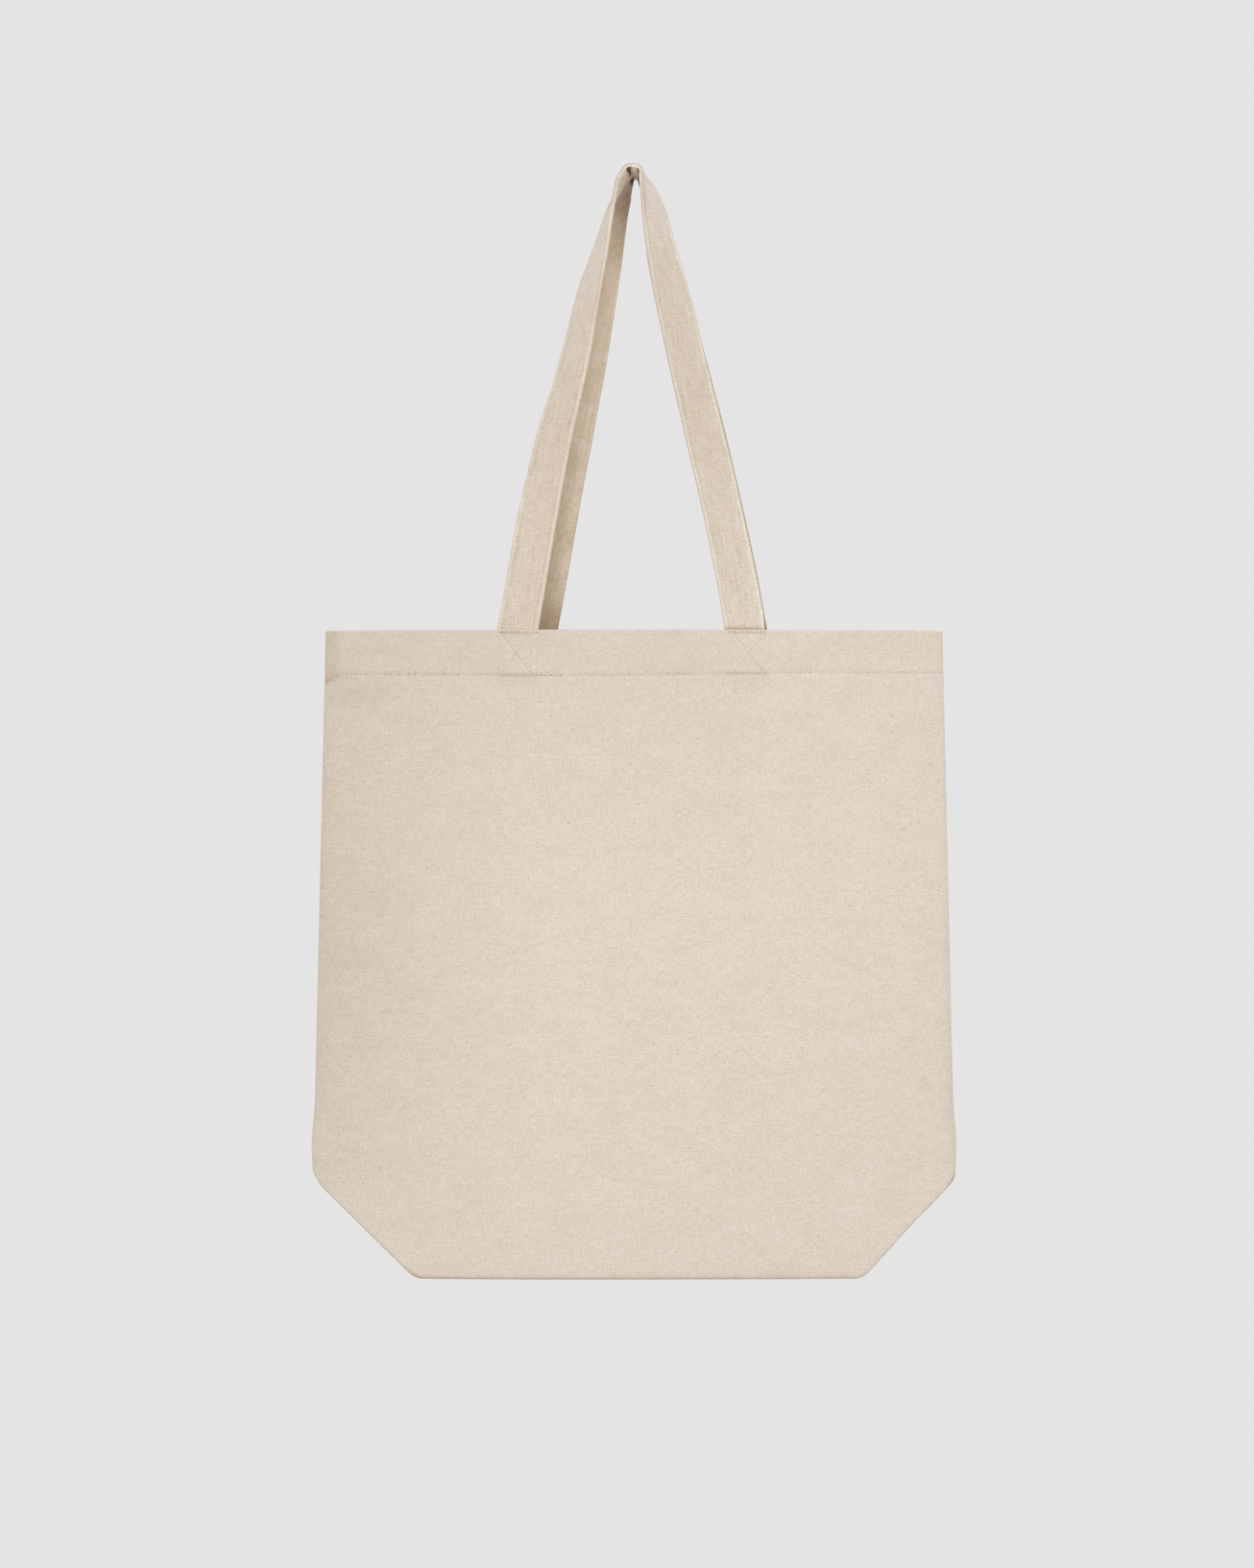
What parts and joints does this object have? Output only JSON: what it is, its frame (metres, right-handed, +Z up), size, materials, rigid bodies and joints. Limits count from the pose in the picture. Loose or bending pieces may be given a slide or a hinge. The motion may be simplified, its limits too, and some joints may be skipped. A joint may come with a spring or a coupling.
{
  "type": "canvas tote bag",
  "caption": "Flat-folded canvas tote bag with a boxed base tucked up inside, a hemmed mouth and long strap handles gathered over a hook.",
  "frame": {"origin": "middle of the hook's axis, under the bends of both handles", "axes": "+Z up; +X to the bag's right as seen from the front; +Y to the back, so the front wall faces -Y"},
  "size_m": [0.3958, 0.0509, 0.6871],
  "materials": {
    "body_canvas": "matte plain-weave natural canvas",
    "hem_canvas": "matte plain-weave natural canvas",
    "seam_canvas": "matte canvas with overcast edges",
    "handle_canvas": "matte folded canvas strap, stitched along both edges"
  },
  "bodies": {
    "bag": {"front_panel": "body_canvas", "back_panel": "body_canvas", "front_base_half": "body_canvas", "back_base_half": "body_canvas", "front_hem": "hem_canvas", "back_hem": "hem_canvas", "base_seam": "seam_canvas", "left_side_seam": "seam_canvas", "right_side_seam": "seam_canvas", "left_corner_seam": "seam_canvas", "right_corner_seam": "seam_canvas", "front_left_tail": "handle_canvas", "front_right_tail": "handle_canvas", "back_left_tail": "handle_canvas", "back_right_tail": "handle_canvas"},
    "front_handle": {"front_handle_strap": "handle_canvas"},
    "back_handle": {"back_handle_strap": "handle_canvas"}
  },
  "joints": [
    {"name": "front_handle_swing", "type": "hinge", "parent": "bag", "child": "front_handle", "pos_m": [0, -0.018, -0.281], "axis": [1, 0, 0], "range_deg": [0, 176]},
    {"name": "back_handle_swing", "type": "hinge", "parent": "bag", "child": "back_handle", "pos_m": [0, 0.0187, -0.281], "axis": [-1, 0, 0], "range_deg": [0, 176]}
  ]
}
